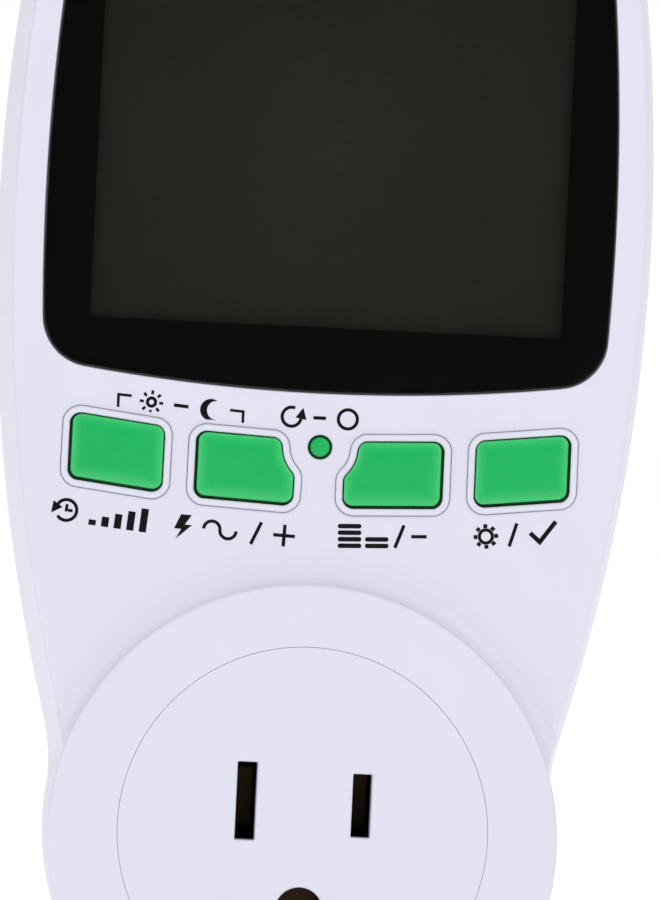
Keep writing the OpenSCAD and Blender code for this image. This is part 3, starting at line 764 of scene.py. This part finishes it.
def front_shell():
    """Front cover with its drum, key beads, openings, and posts for the screws."""
    face_inset = DRAFT + EDGE_R
    edge = quarter((face_inset, FACE_Y + EDGE_R), EDGE_R, 180, 270)
    seam = [(SEAM_BEVEL, SEAM_Y), (0, SEAM_Y - SEAM_BEVEL)]
    shell = body_solid(seam + edge)
    drum_edge = quarter((DOME_DRAFT + DOME_EDGE_R, OUTLET_Y + DOME_EDGE_R), DOME_EDGE_R, 180, 270, 8)
    combined(shell, [drum_solid(seam + drum_edge)], "UNION")
    foot_y = FACE_Y - DOME_FOOT_R
    foot = [(-DOME_FOOT_R, FACE_Y + SINK)]
    foot += quarter((DOME_DRAFT - DOME_FOOT_R, foot_y), DOME_FOOT_R, 89, 0, 8)
    foot += [(DOME_DRAFT + 0.1, foot_y - 0.02)]
    tall = quarter((face_inset, foot_y + EDGE_R), EDGE_R, 180, 270)
    limits = body_solid([(0.9 * DRAFT, FACE_Y + REACH)] + tall)
    skirt = combined(drum_solid(foot), [limits], "INTERSECT")
    combined(shell, [skirt], "UNION")
    inner = FACE_Y + FRONT_WALL
    cavity = [(WALL, SEAM_Y + REACH), (WALL + DRAFT, inner + 1), (WALL + DRAFT + 0.6, inner)]
    combined(shell, [body_solid(cavity)], "DIFFERENCE")
    drum_inner = OUTLET_Y + FRONT_WALL
    combined(shell, [drum_solid([(WALL, SEAM_Y + REACH), (WALL, drum_inner)])], "DIFFERENCE")
    posts = []
    for place in CASE_POSTS:
        floor = inner if place[1] > 0 else drum_inner
        posts.append(post(place, CASE_POST_R, SEAM_Y, floor - SINK))
    for place in BOARD_POSTS:
        posts.append(post(place, POST_R, BOARD_Y, inner - SINK))
    combined(shell, posts, "UNION")
    combined(shell, [key_collar(i) for i in range(4)], "UNION")

    def window_ring(grow):
        return window_outline(-WINDOW_GAP - grow)

    def reset_ring(grow):
        return circle((0, RESET_Z), RESET_HOLE_R + grow)

    def insert_ring(grow):
        return circle((0, INSERT_Z), INSERT_R + grow, 160)

    cuts = [cutter(window_ring, FACE_Y, SEAT_Y, WINDOW_SEAT_EDGE_R)]
    cuts += [slab(key_ring(i)(0), FACE_Y - REACH, inner + REACH) for i in range(4)]
    cuts.append(cutter(reset_ring, FACE_Y, inner + REACH, RESET_EDGE_R))
    cuts.append(cutter(insert_ring, OUTLET_Y, drum_inner + REACH, INSERT_EDGE_R))
    cuts += [post(place, SCREW_R, SEAM_Y + REACH, inner + 1.5) for place in CASE_POSTS]
    cuts += [post(place, BOARD_SCREW_R, BOARD_Y + REACH, BOARD_Y - 3) for place in BOARD_POSTS]
    combined(shell, cuts, "DIFFERENCE")
    size = (VIEW_W + 2 * LEDGE, VIEW_HIGH - VIEW_LOW + 2 * LEDGE)
    opening = rounded_box(VIEW_MIDDLE, size, OPENING_CORNER_R)
    combined(shell, [slab(opening, FACE_Y, inner + REACH)], "DIFFERENCE")
    return finished(shell, "front_shell", "case", case_plastic, ["front_cover"])


def rear_shell():
    """Rear cover with the plug base, screw shafts, label recess and openings for the pins."""
    seam = [(SEAM_BEVEL, SEAM_Y), (0, SEAM_Y + SEAM_BEVEL)]
    edge = quarter((BACK_EDGE_R, BACK_Y - BACK_EDGE_R), BACK_EDGE_R, 180, 90, 8)
    shell = body_solid(seam + edge)
    combined(shell, [drum_solid(seam + edge)], "UNION")
    plug_edge = quarter((BASE_R - BASE_EDGE_R, -BASE_EDGE_R), BASE_EDGE_R, 0, 90)
    foot_middle = (BASE_R + BASE_FOOT_R, BACK_Y + BASE_FOOT_R)
    foot = quarter(foot_middle, BASE_FOOT_R, 269, 180)
    base = turned((0, DRUM_Z), [(foot_middle[0], BACK_Y - REACH)] + foot + plug_edge, 160)
    combined(shell, [base], "UNION")
    inner = BACK_Y - WALL
    cavity = [(WALL + 1.2, inner), (WALL + 0.2, inner - 1.2), (WALL, SEAM_Y - REACH)]
    combined(shell, [body_solid(cavity)], "DIFFERENCE")
    combined(shell, [drum_solid([(WALL, inner), (WALL, SEAM_Y - REACH)])], "DIFFERENCE")
    pocket = slab(circle((0, DRUM_Z), BASE_POCKET_R, 96), -BASE_PLATE_T, inner - REACH)
    combined(shell, [pocket], "DIFFERENCE")
    posts = [post(place, HEAD_R + 1.1, inner + SINK, SEAM_Y) for place in CASE_POSTS]
    posts += [post(place, POST_R, inner + SINK, POWER_Y) for place in POWER_POSTS]
    combined(shell, posts, "UNION")

    def back_cutter(ring, depth, edge_r):
        return facing_back(cutter(ring, -BACK_Y, -BACK_Y + depth, edge_r))

    def head_ring(place):
        return lambda grow: circle(place, HEAD_R + 0.2 + grow, 48)

    def label_ring(grow):
        size = (LABEL_HIGH.x - LABEL_LOW.x + LABEL_GAP, LABEL_HIGH.z - LABEL_LOW.z + LABEL_GAP)
        middle = (0, (LABEL_LOW.z + LABEL_HIGH.z) / 2)
        return rounded_box(middle, (size[0] + 2 * grow, size[1] + 2 * grow), LABEL_CORNER_R + grow)

    cuts = [back_cutter(head_ring(place), HEAD_DEPTH, 0.2) for place in CASE_POSTS]
    cuts.append(back_cutter(label_ring, BACK_Y - LABEL_LOW.y, 0.12))
    cuts += [post(place, BOARD_SCREW_R, POWER_Y - REACH, POWER_Y + 1.4) for place in POWER_POSTS]
    for x in (-BLADE_X, BLADE_X):
        blade_hole = rounded_box((x, 0), (BLADE_T, BLADE_HIGH.z - BLADE_LOW.z), 0.05, 2)
        cuts.append(slab(blade_hole, 1, BACK_Y))
    cuts.append(slab(circle((0, GROUND_Z), COLLAR_R), 1, BACK_Y))
    combined(shell, cuts, "DIFFERENCE")
    shafts = [post(place, SCREW_R + 0.2, BACK_Y + REACH, SEAM_Y - REACH) for place in CASE_POSTS]
    combined(shell, shafts, "DIFFERENCE")
    return finished(shell, "rear_shell", "case", case_plastic, ["rear_cover"])


def outlet_insert():
    """Round insert with two blade slots, the ground bore and a lip behind the cover."""
    radius = INSERT_R - INSERT_GAP
    edge = quarter((radius - INSERT_EDGE_R, OUTLET_Y + INSERT_EDGE_R), INSERT_EDGE_R, 270, 360)
    step_y = OUTLET_Y + FRONT_WALL
    lip = radius + INSERT_LIP + INSERT_GAP
    profile = edge + [(radius, step_y), (lip, step_y), (lip, INSERT_HIGH.y)]
    insert = turned((0, INSERT_Z), profile, 160)

    def slot_ring(x, width, height):
        return lambda grow: rounded_box((x, 0), (width + 2 * grow, height + 2 * grow), 0.15 + grow)

    def bore_ring(grow):
        return circle((0, GROUND_Z), GROUND_BORE_R + grow, 72)

    floor = INSERT_HIGH.y + REACH
    cuts = [cutter(slot_ring(*slot), OUTLET_Y, floor, SLOT_EDGE_R) for slot in SLOTS]
    cuts.append(cutter(bore_ring, OUTLET_Y, floor, SLOT_EDGE_R))
    combined(insert, cuts, "DIFFERENCE")
    return finished(insert, "outlet_insert", "case", case_plastic, ["socket_face"])


front_shell()
rear_shell()
outlet_insert()


# ---- Display --------------------------------------------------------------------------------


def display_window():
    """Clear plate with a thin black print behind it, open over the display."""
    back = WINDOW_HIGH.y
    edge = quarter((WINDOW_EDGE_R, FACE_Y + WINDOW_EDGE_R), WINDOW_EDGE_R, 270, 180, 5)
    rings = [at_depth(window_outline(inset), y) for inset, y in edge]
    rings.append(at_depth(window_outline(0), back - 1.5 * PRINT_T))
    plate = loft(rings)
    finished(plate, "window_plate", "case", SLOT_MATERIALS["smoked_window"], ["display_window"])
    view = rounded_box(VIEW_MIDDLE, (VIEW_W, VIEW_HIGH - VIEW_LOW), VIEW_CORNER_R)
    mask = slab(window_outline(PRINT_T), back - PRINT_T, back)
    combined(mask, [slab(view, back - REACH, back + REACH)], "DIFFERENCE")
    finished(mask, "window_print", "case", mask_black)


display_window()


# ---- Keys -----------------------------------------------------------------------------------


def edge_distance(points, place):
    """Distance from a place to the nearest side of an outline."""
    ahead = np.roll(points, -1, axis=0) - points
    share = ((place - points) * ahead).sum(axis=1) / (ahead**2).sum(axis=1)
    nearest = points + np.clip(share, 0, 1)[:, None] * ahead
    return np.linalg.norm(place - nearest, axis=1).min()


def mark_painted_rim_light(cap, points):
    """Gives a cap's mesh a number, the strength of the painted rim light, that falls from 1 at the outline's
    edge to 0 inside it.
    """
    rim = cap.data.attributes.new(PAINTED_RIM_LIGHT_ATTRIBUTE, "FLOAT", "POINT")
    for vertex in cap.data.vertices:
        place = np.array((vertex.co.x, vertex.co.z)) / MM
        rim.data[vertex.index].value = max(0, 1 - edge_distance(points, place) / KEY_GLOW_W) ** 1.5


def key_cap(key, side):
    """Pillow-shaped cap with its flange and stem; side is -1 left of the middle and 1 right of it."""

    def placed(points, y):
        points = points + (KEY_LEAN, KEY_LEAN)
        return at_depth(mirrored(points) if side > 0 else points, y)

    def fall(inset):
        """How far the pillow has fallen at a distance from the cap's edge."""
        return KEY_CROWN * (1 - inset / KEY_PILLOW_W) ** 2

    top = FACE_Y - KEY_RISE
    back = FACE_Y + FRONT_WALL + FLANGE_GAP
    edge_y = top + fall(KEY_EDGE_R) + KEY_EDGE_R
    rings = [placed(key_outline(key, 0), back)]
    for inset, y in quarter((KEY_EDGE_R, edge_y), KEY_EDGE_R, 180, 261, 6):
        rings.append(placed(key_outline(key, -inset), y))
    for inset in np.linspace(KEY_EDGE_R + 0.08, KEY_RIM_INSET, 4):
        rings.append(placed(key_outline(key, -inset), top + fall(inset)))
    rim = key_outline(key, -KEY_RIM_INSET)
    middle = rim.mean(0)
    for inset in np.linspace(KEY_RIM_INSET, KEY_PILLOW_W, 6)[1:]:
        share = 1 - (inset - KEY_RIM_INSET) / (KEY_H / 2 - KEY_RIM_INSET)
        rings.append(placed(middle + (rim - middle) * share, top + fall(inset)))
    cap = loft(rings)
    flange_back = back + FLANGE_T
    flange = key_outline(key, FLANGE_W)
    stem_place = (side * abs(key["x"]), key_z(key["x"]))
    stem_back = node_box(f"plunger_{key['names'][side > 0]}")[0].y
    combined(cap, [loft([placed(flange, back), placed(flange, flange_back)])], "UNION")
    combined(cap, [post(stem_place, STEM_R, flange_back - FLANGE_T / 2, stem_back)], "UNION")
    name = key["names"][side > 0]
    drawn = key_outline(key, 0) + (KEY_LEAN, KEY_LEAN)
    mark_painted_rim_light(cap, mirrored(drawn) if side > 0 else drawn)
    return finished(cap, f"{name}_cap", f"{name}_key", key_plastic, [f"key_{name}"])


for key in (OUTER_KEY, INNER_KEY):
    for side in (-1, 1):
        key_cap(key, side)


def reset_pin():
    """Round pin, sunk in its hole, with a flange and stem behind the cover."""
    front = FACE_Y + RESET_SINK
    back = FACE_Y + FRONT_WALL + FLANGE_GAP
    stem_back = node_box("plunger_reset")[0].y
    edge = quarter((RESET_PIN_R - RESET_TIP_R, front + RESET_TIP_R), RESET_TIP_R, 270, 360)
    profile = [(RESET_TIP_R, front)] + edge
    profile += [(RESET_PIN_R, back), (2 * RESET_PIN_R, back), (2 * RESET_PIN_R, back + FLANGE_T)]
    profile += [(RESET_PIN_R, back + FLANGE_T), (RESET_PIN_R, stem_back)]
    pin = turned((0, RESET_Z), profile, 48)
    return finished(pin, "reset_pin", "reset_key", key_plastic, ["key_reset"])


reset_pin()


# ---- Printed legends ------------------------------------------------------------------------


def stroke(points, width):
    """Polygon of a line of even width through points, mitred where it turns."""
    points = np.array(points, float)
    ahead = points[1:] - points[:-1]
    ahead /= np.linalg.norm(ahead, axis=1)[:, None]
    across = np.column_stack((-ahead[:, 1], ahead[:, 0]))
    before, after = np.vstack((across[:1], across)), np.vstack((across, across[-1:]))
    mitre = (before + after) / (1 + (before * after).sum(axis=1))[:, None] * width / 2
    return np.vstack((points - mitre, (points + mitre)[::-1]))


def bar(a, b, width=0.38):
    """Polygon of a straight line."""
    return stroke((a, b), width)


def bow(centre, radius, start, end, width=0.36):
    """Polygon of an arc-shaped line."""
    points = arc(centre, radius, start, end, 20) + [np.array(centre) + radius * polar(end)]
    return stroke(points, width)


def arrow_bow(centre, radius, start, end, size=1.25):
    """An arc-shaped line that ends in an arrow head."""
    base = np.array(centre) + radius * polar(end)
    half = size / 2 * polar(end)
    head = np.array((base - half, base + half, base + size * polar(end + 90)))
    return [bow(centre, radius, start, end), head]


def ring_marks(centre, radius, width=0.36):
    """A closed ring as two halves that touch end to end."""
    return [bow(centre, radius, 0, 180, width), bow(centre, radius, 180, 360, width)]


def rays(centre, start, end, width):
    """Eight short lines that point away from a centre."""
    ways = [polar(turn) for turn in range(0, 360, 45)]
    return [bar(np.array(centre) + start * way, np.array(centre) + end * way, width) for way in ways]


def slash(x):
    """Leaning stroke between two marks."""
    return bar((x - 0.5, -1.25), (x + 0.5, 1.25))


def legend(name, shapes, place, turn=0.0):
    """Ink on the front face: thin closed prisms of the shapes, turned and moved into place."""
    spin = np.array((polar(turn), polar(turn + 90)))
    prisms = [slab(shape @ spin + place, FACE_Y - INK_T, FACE_Y + INK_SINK) for shape in shapes]
    return finished(joined(prisms), name, "case", ink, crease=20)


def history_mark():
    """A clock whose rim is a turning-back arrow, and five rising bars."""
    clock = arrow_bow((-3.9, 0), 1.15, -140, 150)
    clock += [bar((-3.9, -0.17), (-3.9, 0.65), 0.34), bar((-3.7, 0), (-3.2, 0), 0.34)]
    bars = [bar((-0.9 + 1.4 * i, -1.25), (-0.9 + 1.4 * i, -0.65 + 0.5 * i), 0.8) for i in range(5)]
    return clock + bars


def energy_mark():
    """A flash, a wave, a slash and a plus."""
    flash = [(-4.9, 1.35), (-5.6, 0.25), (-4.8, 0.25), (-6.5, -1.4)]
    flash += [(-5.95, -0.25), (-6.75, -0.25), (-6.1, 1.35)]
    waves = [bow((-2.6, 0), 0.9, 0, 180), bow((-0.8, 0), 0.9, 180, 360)]
    plus = [bar((4.2, 0), (6.6, 0)), bar((5.4, 0.19), (5.4, 1.2)), bar((5.4, -1.2), (5.4, -0.19))]
    return [np.array(flash), *waves, slash(2.3), *plus]


def cost_mark():
    """Two stacks of coins, a slash and a minus."""
    coins = [rounded_box((-3.6, -1.05 + 0.72 * i), (2.6, 0.5), 0.24) for i in range(4)]
    coins += [rounded_box((-0.6, -1.05 + 0.72 * i), (2.6, 0.5), 0.24) for i in range(2)]
    return [*coins, slash(1.9), bar((3.2, 0), (4.9, 0))]


def set_mark():
    """A gear wheel, a slash and a tick."""
    gear = ring_marks((-3.4, 0), 0.72) + rays((-3.4, 0), 0.93, 1.35, 0.45)
    tick = stroke(((1.5, 0.1), (2.5, -0.95), (4.4, 1.2)), 0.5)
    return [*gear, slash(-0.4), tick]


def reset_mark():
    """A circular arrow, a dash and a ring."""
    arrow = arrow_bow((-3.1, 0), 1.05, 70, 350)
    return [*arrow, bar((-0.7, 0), (0.7, 0)), *ring_marks((3.1, 0), 1.05)]


def day_night_mark():
    """A sun, a dash and a crescent moon."""
    sun = ring_marks((-3.3, 0), 0.45) + rays((-3.3, 0), 0.85, 1.3, 0.3)
    outer = arc((3.3, 0), 1.2, 60, 300, 20)
    inner = arc((3.9, 0), 1.04, 270, 90, 16)
    moon = np.array(outer + [np.array((3.3, 0)) + 1.2 * polar(300)] + inner)
    return [*sun, bar((-0.8, 0), (0.8, 0)), moon]


def brackets():
    """Corner brackets from beside the day and night mark down to the two keys on the left."""
    left = ((-21.0, 43.85), (-22.45, 43.95), (-22.45, 42.2))
    right = ((-8.65, 40.9), (-8.65, 42.7), (-10.1, 42.8))
    return [stroke(left, 0.3), stroke(right, 0.3)]


legend("history_legend", history_mark(), (-23.7, 30.6), -5.3)
legend("energy_legend", energy_mark(), (-8.9, 29.5), -2.3)
legend("cost_legend", cost_mark(), (7.3, 29.7), 2.3)
legend("set_legend", set_mark(), (22.1, 30.6), 6.0)
legend("reset_legend", reset_mark(), (-0.2, 42.4))
legend("clock_legend", day_night_mark(), (-15.5, 43.0), -4.6)
legend("clock_brackets", brackets(), (0, 0))


# ---- Plug and screws ------------------------------------------------------------------------


def blade(name, x):
    """Flat blade with bevelled edges and a round eye near its tip."""
    middle = (x, 0)
    half_w = BLADE_HIGH.z - BLADE_LOW.z
    tip = BLADE_HIGH.y

    def section(narrower, thinner, y):
        return at_depth(rounded_box(middle, (BLADE_T - thinner, half_w - narrower), 0.15), y)

    rings = [section(0, 0, BLADE_LOW.y), section(0, 0, tip - 2.2), section(1.0, 0.05, tip - 1.0)]
    rings += [section(2.0, 0.5, tip - 0.25), section(2.6, 0.9, tip)]
    piece = loft(rings)
    eye = turned((0, 0), [(BLADE_EYE_R, -2), (BLADE_EYE_R, 2)], 48)
    eye_place = Matrix.Translation((x * MM, (tip - BLADE_EYE_IN) * MM, 0))
    eye.data.transform(eye_place @ Matrix.Rotation(math.pi / 2, 4, "Z"))
    combined(piece, [eye], "DIFFERENCE")
    return finished(piece, name + "_piece", "case", SLOT_MATERIALS["plated_steel"], [name])


def ground_pin():
    """Round pin with a hemispherical nose and a collar in the plug base."""
    tip = PIN_HIGH.y
    nose = quarter((0, tip - PIN_R), PIN_R, 0, 84, 10)
    profile = [(COLLAR_R, PIN_LOW.y), (COLLAR_R, -0.15), (COLLAR_R - 0.15, 0), (PIN_R, 0)]
    pin = turned((0, GROUND_Z), profile + nose, 64)
    return finished(pin, "ground_pin_piece", "case", SLOT_MATERIALS["plated_steel"], ["ground_pin"])


def case_screws():
    """Pan heads with cross recesses, sunk in the rear cover."""
    head_y = BACK_Y - HEAD_DEPTH
    screws = []
    for place in CASE_POSTS:
        dome = quarter((HEAD_R - 0.7, head_y + HEAD_T - 0.7), 0.7, 0, 84, 5)
        profile = [(0.4, SCREW_Y), (SCREW_R, SCREW_Y + 1.2), (SCREW_R, head_y), (HEAD_R, head_y)]
        screw = turned(place, profile + dome, 40)
        for size in ((2.2, 0.55), (0.55, 2.2)):
            recess = slab(rounded_box(place, size, 0.1), head_y + HEAD_T - 0.9, head_y + HEAD_T + 1)
            combined(screw, [recess], "DIFFERENCE")
        screws.append(screw)
    return finished(joined(screws), "screws", "case", SLOT_MATERIALS["plated_steel"], ["case_screws"])


blade("line_blade", BLADE_X)
blade("neutral_blade", -BLADE_X)
ground_pin()
case_screws()


# ---- Studio ---------------------------------------------------------------------------------

LIT_PLACE = (0, 0, 0.04)
CAMERA_AIM = Vector((1.0, OUTLET_Y, 38.94)) * MM
CAMERA_DISTANCE = 1.2
SEEN_HEIGHT = 0.0989
CAMERA_YAW = math.radians(2.2)
CAMERA_ROLL = math.radians(2.75)


def studio_floor():
    """Pale floor that the case stands on, far wider than any view."""
    reach = 6000
    corners = [(-reach, -reach), (reach, -reach), (reach, reach), (-reach, reach)]
    level = FRONT_LOW.z - 0.02
    plane = mesh_object("floor", [(x, y, level) for x, y in corners], [(0, 1, 2, 3)])
    material, tree, shader, place = nodes_of("floor_white", "floor")
    paper = spread(tree, noise(tree, place, 40, 3), 0, 1)
    colour = blend_colours(tree, paper, (0.86, 0.86, 0.86), (0.88, 0.88, 0.88))
    tree.links.new(colour, shader.inputs["Base Color"])
    shader.inputs["Roughness"].default_value = 0.9
    shader.inputs["Emission Color"].default_value = (1, 1, 1, 1)
    shader.inputs["Emission Strength"].default_value = 0.34
    plane.data.materials.append(material)


def studio_world():
    """White surround, dimmer to the sides, with a dark panel in front of the object for its gloss."""
    world = bpy.data.worlds.new("studio")
    bpy.context.scene.world = world
    world.use_nodes = True
    tree = world.node_tree
    background = tree.nodes["Background"]
    place = tree.nodes.new("ShaderNodeTexCoord")
    split = tree.nodes.new("ShaderNodeSeparateXYZ")
    tree.links.new(place.outputs["Generated"], split.inputs["Vector"])
    panel = tree.nodes.new("ShaderNodeMapRange")
    panel.interpolation_type = "SMOOTHSTEP"
    panel.inputs["From Min"].default_value = -math.cos(math.radians(16))
    panel.inputs["From Max"].default_value = -math.cos(math.radians(26))
    panel.inputs["To Min"].default_value = 0.03
    panel.inputs["To Max"].default_value = 1.0
    tree.links.new(split.outputs["Y"], panel.inputs["Value"])
    sideways = tree.nodes.new("ShaderNodeMath")
    sideways.operation = "ABSOLUTE"
    tree.links.new(split.outputs["X"], sideways.inputs[0])
    dim = tree.nodes.new("ShaderNodeMapRange")
    dim.inputs["From Min"].default_value = 0.3
    dim.inputs["To Min"].default_value = 1.0
    dim.inputs["To Max"].default_value = 0.45
    tree.links.new(sideways.outputs["Value"], dim.inputs["Value"])
    strength = tree.nodes.new("ShaderNodeMath")
    strength.operation = "MULTIPLY"
    tree.links.new(panel.outputs["Result"], strength.inputs[0])
    tree.links.new(dim.outputs["Result"], strength.inputs[1])
    tree.links.new(strength.outputs["Value"], background.inputs["Strength"])
    background.inputs["Color"].default_value = (1, 1, 1, 1)


def softbox(name, place, aim, size, watts):
    """Square area light, placed in metres."""
    light = bpy.data.lights.new(name, "AREA")
    light.shape = "SQUARE"
    light.size = size
    light.energy = watts
    obj = bpy.data.objects.new(name, light)
    bpy.context.scene.collection.objects.link(obj)
    obj.location = place
    obj.rotation_euler = (Vector(aim) - Vector(place)).to_track_quat("-Z", "Y").to_euler()


def studio_camera():
    """Long lens almost square to the front, a little from the left, rolled as the photograph is."""
    away = Vector((-math.sin(CAMERA_YAW), -math.cos(CAMERA_YAW), 0))
    data = bpy.data.cameras.new("camera")
    data.sensor_fit = "VERTICAL"
    data.sensor_height = 24
    data.lens = data.sensor_height * CAMERA_DISTANCE / SEEN_HEIGHT
    data.clip_end = 50
    camera = bpy.data.objects.new("camera", data)
    bpy.context.scene.collection.objects.link(camera)
    level = (-away).to_track_quat("-Z", "Y")
    camera.rotation_euler = (level.to_matrix() @ Matrix.Rotation(CAMERA_ROLL, 3, "Z")).to_euler()
    camera.location = CAMERA_AIM + CAMERA_DISTANCE * away
    bpy.context.scene.camera = camera


studio_floor()
studio_world()
softbox("key_light", (0.55, -0.75, 0.45), LIT_PLACE, 0.5, 2.0)
softbox("edge_light", (-0.8, -0.5, 0.2), LIT_PLACE, 0.3, 1.2)
studio_camera()
bpy.context.scene.view_settings.view_transform = "Standard"
